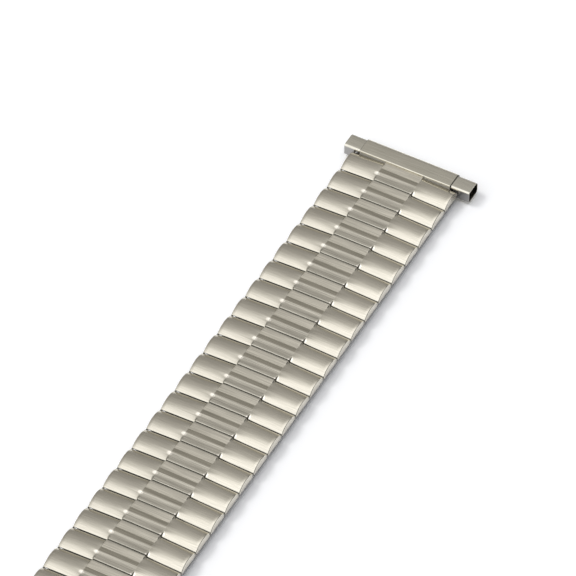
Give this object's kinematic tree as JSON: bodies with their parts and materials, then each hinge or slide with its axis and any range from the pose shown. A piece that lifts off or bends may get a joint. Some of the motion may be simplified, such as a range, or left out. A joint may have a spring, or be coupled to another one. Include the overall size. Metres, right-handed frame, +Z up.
{
  "type": "expansion watch band",
  "caption": "Stretching metal watch band of domed top links over a staggered lower row, joined by sprung wire bows, with sliding tube ends for spring bars.",
  "frame": {"origin": "middle of the band lying flat, on the skin side face of its lower row", "axes": "+X along the band to its far end, +Y across the width to the left, +Z up from the skin side to the decorated side"},
  "size_m": [0.1208, 0.0218, 0.0029],
  "materials": {
    "top_link": "satin brushed along the width, bright at the folded edges",
    "inner_link": "plain rolled sheet, hard spring wire bows",
    "end_bar": "satin brushed along its length",
    "end_tube": "satin, darker inside the mouth"
  },
  "bodies": {
    "near_end": {"end_link_near": "top_link", "end_housing_near": "end_bar"},
    "upper_link_01": {"upper_link_01": "top_link"},
    "upper_link_02": {"upper_link_02": "top_link"},
    "upper_link_03": {"upper_link_03": "top_link"},
    "upper_link_04": {"upper_link_04": "top_link"},
    "upper_link_05": {"upper_link_05": "top_link"},
    "upper_link_06": {"upper_link_06": "top_link"},
    "upper_link_07": {"upper_link_07": "top_link"},
    "upper_link_08": {"upper_link_08": "top_link"},
    "upper_link_09": {"upper_link_09": "top_link"},
    "upper_link_10": {"upper_link_10": "top_link"},
    "upper_link_11": {"upper_link_11": "top_link"},
    "upper_link_12": {"upper_link_12": "top_link"},
    "upper_link_13": {"upper_link_13": "top_link"},
    "upper_link_14": {"upper_link_14": "top_link"},
    "upper_link_15": {"upper_link_15": "top_link"},
    "upper_link_16": {"upper_link_16": "top_link"},
    "upper_link_17": {"upper_link_17": "top_link"},
    "upper_link_18": {"upper_link_18": "top_link"},
    "upper_link_19": {"upper_link_19": "top_link"},
    "upper_link_20": {"upper_link_20": "top_link"},
    "upper_link_21": {"upper_link_21": "top_link"},
    "upper_link_22": {"upper_link_22": "top_link"},
    "upper_link_23": {"upper_link_23": "top_link"},
    "upper_link_24": {"upper_link_24": "top_link"},
    "upper_link_25": {"upper_link_25": "top_link"},
    "far_end": {"end_link_far": "top_link", "end_housing_far": "end_bar"},
    "lower_link_01": {"lower_link_01": "inner_link"},
    "lower_link_02": {"lower_link_02": "inner_link"},
    "lower_link_03": {"lower_link_03": "inner_link"},
    "lower_link_04": {"lower_link_04": "inner_link"},
    "lower_link_05": {"lower_link_05": "inner_link"},
    "lower_link_06": {"lower_link_06": "inner_link"},
    "lower_link_07": {"lower_link_07": "inner_link"},
    "lower_link_08": {"lower_link_08": "inner_link"},
    "lower_link_09": {"lower_link_09": "inner_link"},
    "lower_link_10": {"lower_link_10": "inner_link"},
    "lower_link_11": {"lower_link_11": "inner_link"},
    "lower_link_12": {"lower_link_12": "inner_link"},
    "lower_link_13": {"lower_link_13": "inner_link"},
    "lower_link_14": {"lower_link_14": "inner_link"},
    "lower_link_15": {"lower_link_15": "inner_link"},
    "lower_link_16": {"lower_link_16": "inner_link"},
    "lower_link_17": {"lower_link_17": "inner_link"},
    "lower_link_18": {"lower_link_18": "inner_link"},
    "lower_link_19": {"lower_link_19": "inner_link"},
    "lower_link_20": {"lower_link_20": "inner_link"},
    "lower_link_21": {"lower_link_21": "inner_link"},
    "lower_link_22": {"lower_link_22": "inner_link"},
    "lower_link_23": {"lower_link_23": "inner_link"},
    "lower_link_24": {"lower_link_24": "inner_link"},
    "lower_link_25": {"lower_link_25": "inner_link"},
    "lower_link_26": {"lower_link_26": "inner_link"},
    "end_tube_near_left": {"end_tube_near_left": "end_tube"},
    "end_tube_near_right": {"end_tube_near_right": "end_tube"},
    "end_tube_far_left": {"end_tube_far_left": "end_tube"},
    "end_tube_far_right": {"end_tube_far_right": "end_tube"}
  },
  "joints": [
    {"name": "curl_01", "type": "hinge", "parent": "upper_link_01", "child": "lower_link_01", "pos_m": [-0.05206, 0, 0.00159], "axis": [0, -1, 0], "range_deg": [0, 11]},
    {"name": "stretch_01", "type": "slide", "parent": "lower_link_01", "child": "near_end", "axis": [-1, 0, 0], "range_m": [0, 0.0016], "stiffness_N_per_m": 120},
    {"name": "curl_02", "type": "hinge", "parent": "upper_link_02", "child": "lower_link_02", "pos_m": [-0.04781, 0, 0.00159], "axis": [0, -1, 0], "range_deg": [0, 11]},
    {"name": "stretch_02", "type": "slide", "parent": "lower_link_02", "child": "upper_link_01", "axis": [-1, 0, 0], "range_m": [0, 0.0016], "stiffness_N_per_m": 120},
    {"name": "curl_03", "type": "hinge", "parent": "upper_link_03", "child": "lower_link_03", "pos_m": [-0.04356, 0, 0.00159], "axis": [0, -1, 0], "range_deg": [0, 11]},
    {"name": "stretch_03", "type": "slide", "parent": "lower_link_03", "child": "upper_link_02", "axis": [-1, 0, 0], "range_m": [0, 0.0016], "stiffness_N_per_m": 120},
    {"name": "curl_04", "type": "hinge", "parent": "upper_link_04", "child": "lower_link_04", "pos_m": [-0.03931, 0, 0.00159], "axis": [0, -1, 0], "range_deg": [0, 11]},
    {"name": "stretch_04", "type": "slide", "parent": "lower_link_04", "child": "upper_link_03", "axis": [-1, 0, 0], "range_m": [0, 0.0016], "stiffness_N_per_m": 120},
    {"name": "curl_05", "type": "hinge", "parent": "upper_link_05", "child": "lower_link_05", "pos_m": [-0.03506, 0, 0.00159], "axis": [0, -1, 0], "range_deg": [0, 11]},
    {"name": "stretch_05", "type": "slide", "parent": "lower_link_05", "child": "upper_link_04", "axis": [-1, 0, 0], "range_m": [0, 0.0016], "stiffness_N_per_m": 120},
    {"name": "curl_06", "type": "hinge", "parent": "upper_link_06", "child": "lower_link_06", "pos_m": [-0.03081, 0, 0.00159], "axis": [0, -1, 0], "range_deg": [0, 11]},
    {"name": "stretch_06", "type": "slide", "parent": "lower_link_06", "child": "upper_link_05", "axis": [-1, 0, 0], "range_m": [0, 0.0016], "stiffness_N_per_m": 120},
    {"name": "curl_07", "type": "hinge", "parent": "upper_link_07", "child": "lower_link_07", "pos_m": [-0.02656, 0, 0.00159], "axis": [0, -1, 0], "range_deg": [0, 11]},
    {"name": "stretch_07", "type": "slide", "parent": "lower_link_07", "child": "upper_link_06", "axis": [-1, 0, 0], "range_m": [0, 0.0016], "stiffness_N_per_m": 120},
    {"name": "curl_08", "type": "hinge", "parent": "upper_link_08", "child": "lower_link_08", "pos_m": [-0.02231, 0, 0.00159], "axis": [0, -1, 0], "range_deg": [0, 11]},
    {"name": "stretch_08", "type": "slide", "parent": "lower_link_08", "child": "upper_link_07", "axis": [-1, 0, 0], "range_m": [0, 0.0016], "stiffness_N_per_m": 120},
    {"name": "curl_09", "type": "hinge", "parent": "upper_link_09", "child": "lower_link_09", "pos_m": [-0.01806, 0, 0.00159], "axis": [0, -1, 0], "range_deg": [0, 11]},
    {"name": "stretch_09", "type": "slide", "parent": "lower_link_09", "child": "upper_link_08", "axis": [-1, 0, 0], "range_m": [0, 0.0016], "stiffness_N_per_m": 120},
    {"name": "curl_10", "type": "hinge", "parent": "upper_link_10", "child": "lower_link_10", "pos_m": [-0.01381, 0, 0.00159], "axis": [0, -1, 0], "range_deg": [0, 11]},
    {"name": "stretch_10", "type": "slide", "parent": "lower_link_10", "child": "upper_link_09", "axis": [-1, 0, 0], "range_m": [0, 0.0016], "stiffness_N_per_m": 120},
    {"name": "curl_11", "type": "hinge", "parent": "upper_link_11", "child": "lower_link_11", "pos_m": [-0.00956, 0, 0.00159], "axis": [0, -1, 0], "range_deg": [0, 11]},
    {"name": "stretch_11", "type": "slide", "parent": "lower_link_11", "child": "upper_link_10", "axis": [-1, 0, 0], "range_m": [0, 0.0016], "stiffness_N_per_m": 120},
    {"name": "curl_12", "type": "hinge", "parent": "upper_link_12", "child": "lower_link_12", "pos_m": [-0.00531, 0, 0.00159], "axis": [0, -1, 0], "range_deg": [0, 11]},
    {"name": "stretch_12", "type": "slide", "parent": "lower_link_12", "child": "upper_link_11", "axis": [-1, 0, 0], "range_m": [0, 0.0016], "stiffness_N_per_m": 120},
    {"name": "curl_13", "type": "hinge", "parent": "upper_link_13", "child": "lower_link_13", "pos_m": [-0.00106, 0, 0.00159], "axis": [0, -1, 0], "range_deg": [0, 11]},
    {"name": "stretch_13", "type": "slide", "parent": "lower_link_13", "child": "upper_link_12", "axis": [-1, 0, 0], "range_m": [0, 0.0016], "stiffness_N_per_m": 120},
    {"name": "stretch_14", "type": "slide", "parent": "upper_link_13", "child": "lower_link_14", "axis": [1, 0, 0], "range_m": [0, 0.0016], "stiffness_N_per_m": 120},
    {"name": "curl_14", "type": "hinge", "parent": "lower_link_14", "child": "upper_link_14", "pos_m": [0.00319, 0, 0.00159], "axis": [0, 1, 0], "range_deg": [0, 11]},
    {"name": "stretch_15", "type": "slide", "parent": "upper_link_14", "child": "lower_link_15", "axis": [1, 0, 0], "range_m": [0, 0.0016], "stiffness_N_per_m": 120},
    {"name": "curl_15", "type": "hinge", "parent": "lower_link_15", "child": "upper_link_15", "pos_m": [0.00744, 0, 0.00159], "axis": [0, 1, 0], "range_deg": [0, 11]},
    {"name": "stretch_16", "type": "slide", "parent": "upper_link_15", "child": "lower_link_16", "axis": [1, 0, 0], "range_m": [0, 0.0016], "stiffness_N_per_m": 120},
    {"name": "curl_16", "type": "hinge", "parent": "lower_link_16", "child": "upper_link_16", "pos_m": [0.01169, 0, 0.00159], "axis": [0, 1, 0], "range_deg": [0, 11]},
    {"name": "stretch_17", "type": "slide", "parent": "upper_link_16", "child": "lower_link_17", "axis": [1, 0, 0], "range_m": [0, 0.0016], "stiffness_N_per_m": 120},
    {"name": "curl_17", "type": "hinge", "parent": "lower_link_17", "child": "upper_link_17", "pos_m": [0.01594, 0, 0.00159], "axis": [0, 1, 0], "range_deg": [0, 11]},
    {"name": "stretch_18", "type": "slide", "parent": "upper_link_17", "child": "lower_link_18", "axis": [1, 0, 0], "range_m": [0, 0.0016], "stiffness_N_per_m": 120},
    {"name": "curl_18", "type": "hinge", "parent": "lower_link_18", "child": "upper_link_18", "pos_m": [0.02019, 0, 0.00159], "axis": [0, 1, 0], "range_deg": [0, 11]},
    {"name": "stretch_19", "type": "slide", "parent": "upper_link_18", "child": "lower_link_19", "axis": [1, 0, 0], "range_m": [0, 0.0016], "stiffness_N_per_m": 120},
    {"name": "curl_19", "type": "hinge", "parent": "lower_link_19", "child": "upper_link_19", "pos_m": [0.02444, 0, 0.00159], "axis": [0, 1, 0], "range_deg": [0, 11]},
    {"name": "stretch_20", "type": "slide", "parent": "upper_link_19", "child": "lower_link_20", "axis": [1, 0, 0], "range_m": [0, 0.0016], "stiffness_N_per_m": 120},
    {"name": "curl_20", "type": "hinge", "parent": "lower_link_20", "child": "upper_link_20", "pos_m": [0.02869, 0, 0.00159], "axis": [0, 1, 0], "range_deg": [0, 11]},
    {"name": "stretch_21", "type": "slide", "parent": "upper_link_20", "child": "lower_link_21", "axis": [1, 0, 0], "range_m": [0, 0.0016], "stiffness_N_per_m": 120},
    {"name": "curl_21", "type": "hinge", "parent": "lower_link_21", "child": "upper_link_21", "pos_m": [0.03294, 0, 0.00159], "axis": [0, 1, 0], "range_deg": [0, 11]},
    {"name": "stretch_22", "type": "slide", "parent": "upper_link_21", "child": "lower_link_22", "axis": [1, 0, 0], "range_m": [0, 0.0016], "stiffness_N_per_m": 120},
    {"name": "curl_22", "type": "hinge", "parent": "lower_link_22", "child": "upper_link_22", "pos_m": [0.03719, 0, 0.00159], "axis": [0, 1, 0], "range_deg": [0, 11]},
    {"name": "stretch_23", "type": "slide", "parent": "upper_link_22", "child": "lower_link_23", "axis": [1, 0, 0], "range_m": [0, 0.0016], "stiffness_N_per_m": 120},
    {"name": "curl_23", "type": "hinge", "parent": "lower_link_23", "child": "upper_link_23", "pos_m": [0.04144, 0, 0.00159], "axis": [0, 1, 0], "range_deg": [0, 11]},
    {"name": "stretch_24", "type": "slide", "parent": "upper_link_23", "child": "lower_link_24", "axis": [1, 0, 0], "range_m": [0, 0.0016], "stiffness_N_per_m": 120},
    {"name": "curl_24", "type": "hinge", "parent": "lower_link_24", "child": "upper_link_24", "pos_m": [0.04569, 0, 0.00159], "axis": [0, 1, 0], "range_deg": [0, 11]},
    {"name": "stretch_25", "type": "slide", "parent": "upper_link_24", "child": "lower_link_25", "axis": [1, 0, 0], "range_m": [0, 0.0016], "stiffness_N_per_m": 120},
    {"name": "curl_25", "type": "hinge", "parent": "lower_link_25", "child": "upper_link_25", "pos_m": [0.04994, 0, 0.00159], "axis": [0, 1, 0], "range_deg": [0, 11]},
    {"name": "stretch_26", "type": "slide", "parent": "upper_link_25", "child": "lower_link_26", "axis": [1, 0, 0], "range_m": [0, 0.0016], "stiffness_N_per_m": 120},
    {"name": "curl_26", "type": "hinge", "parent": "lower_link_26", "child": "far_end", "pos_m": [0.05419, 0, 0.00159], "axis": [0, 1, 0], "range_deg": [0, 11]},
    {"name": "tube_slide_far_left", "type": "slide", "parent": "far_end", "child": "end_tube_far_left", "axis": [0, 1, 0], "range_m": [-0.0015, 0.0005]},
    {"name": "tube_slide_far_right", "type": "slide", "parent": "far_end", "child": "end_tube_far_right", "axis": [0, -1, 0], "range_m": [-0.0019, 0.0001]},
    {"name": "tube_slide_near_left", "type": "slide", "parent": "near_end", "child": "end_tube_near_left", "axis": [0, 1, 0], "range_m": [-0.0019, 0.0001]},
    {"name": "tube_slide_near_right", "type": "slide", "parent": "near_end", "child": "end_tube_near_right", "axis": [0, -1, 0], "range_m": [-0.0015, 0.0005]}
  ],
  "couplings": [
    {"joint": "stretch_01", "follows": "stretch_14", "ratio": 1},
    {"joint": "curl_01", "follows": "curl_13", "ratio": 1},
    {"joint": "stretch_02", "follows": "stretch_14", "ratio": 1},
    {"joint": "curl_02", "follows": "curl_13", "ratio": 1},
    {"joint": "stretch_03", "follows": "stretch_14", "ratio": 1},
    {"joint": "curl_03", "follows": "curl_13", "ratio": 1},
    {"joint": "stretch_04", "follows": "stretch_14", "ratio": 1},
    {"joint": "curl_04", "follows": "curl_13", "ratio": 1},
    {"joint": "stretch_05", "follows": "stretch_14", "ratio": 1},
    {"joint": "curl_05", "follows": "curl_13", "ratio": 1},
    {"joint": "stretch_06", "follows": "stretch_14", "ratio": 1},
    {"joint": "curl_06", "follows": "curl_13", "ratio": 1},
    {"joint": "stretch_07", "follows": "stretch_14", "ratio": 1},
    {"joint": "curl_07", "follows": "curl_13", "ratio": 1},
    {"joint": "stretch_08", "follows": "stretch_14", "ratio": 1},
    {"joint": "curl_08", "follows": "curl_13", "ratio": 1},
    {"joint": "stretch_09", "follows": "stretch_14", "ratio": 1},
    {"joint": "curl_09", "follows": "curl_13", "ratio": 1},
    {"joint": "stretch_10", "follows": "stretch_14", "ratio": 1},
    {"joint": "curl_10", "follows": "curl_13", "ratio": 1},
    {"joint": "stretch_11", "follows": "stretch_14", "ratio": 1},
    {"joint": "curl_11", "follows": "curl_13", "ratio": 1},
    {"joint": "stretch_12", "follows": "stretch_14", "ratio": 1},
    {"joint": "curl_12", "follows": "curl_13", "ratio": 1},
    {"joint": "stretch_13", "follows": "stretch_14", "ratio": 1},
    {"joint": "curl_14", "follows": "curl_13", "ratio": 1},
    {"joint": "stretch_15", "follows": "stretch_14", "ratio": 1},
    {"joint": "curl_15", "follows": "curl_13", "ratio": 1},
    {"joint": "stretch_16", "follows": "stretch_14", "ratio": 1},
    {"joint": "curl_16", "follows": "curl_13", "ratio": 1},
    {"joint": "stretch_17", "follows": "stretch_14", "ratio": 1},
    {"joint": "curl_17", "follows": "curl_13", "ratio": 1},
    {"joint": "stretch_18", "follows": "stretch_14", "ratio": 1},
    {"joint": "curl_18", "follows": "curl_13", "ratio": 1},
    {"joint": "stretch_19", "follows": "stretch_14", "ratio": 1},
    {"joint": "curl_19", "follows": "curl_13", "ratio": 1},
    {"joint": "stretch_20", "follows": "stretch_14", "ratio": 1},
    {"joint": "curl_20", "follows": "curl_13", "ratio": 1},
    {"joint": "stretch_21", "follows": "stretch_14", "ratio": 1},
    {"joint": "curl_21", "follows": "curl_13", "ratio": 1},
    {"joint": "stretch_22", "follows": "stretch_14", "ratio": 1},
    {"joint": "curl_22", "follows": "curl_13", "ratio": 1},
    {"joint": "stretch_23", "follows": "stretch_14", "ratio": 1},
    {"joint": "curl_23", "follows": "curl_13", "ratio": 1},
    {"joint": "stretch_24", "follows": "stretch_14", "ratio": 1},
    {"joint": "curl_24", "follows": "curl_13", "ratio": 1},
    {"joint": "stretch_25", "follows": "stretch_14", "ratio": 1},
    {"joint": "curl_25", "follows": "curl_13", "ratio": 1},
    {"joint": "stretch_26", "follows": "stretch_14", "ratio": 1},
    {"joint": "curl_26", "follows": "curl_13", "ratio": 1}
  ]
}
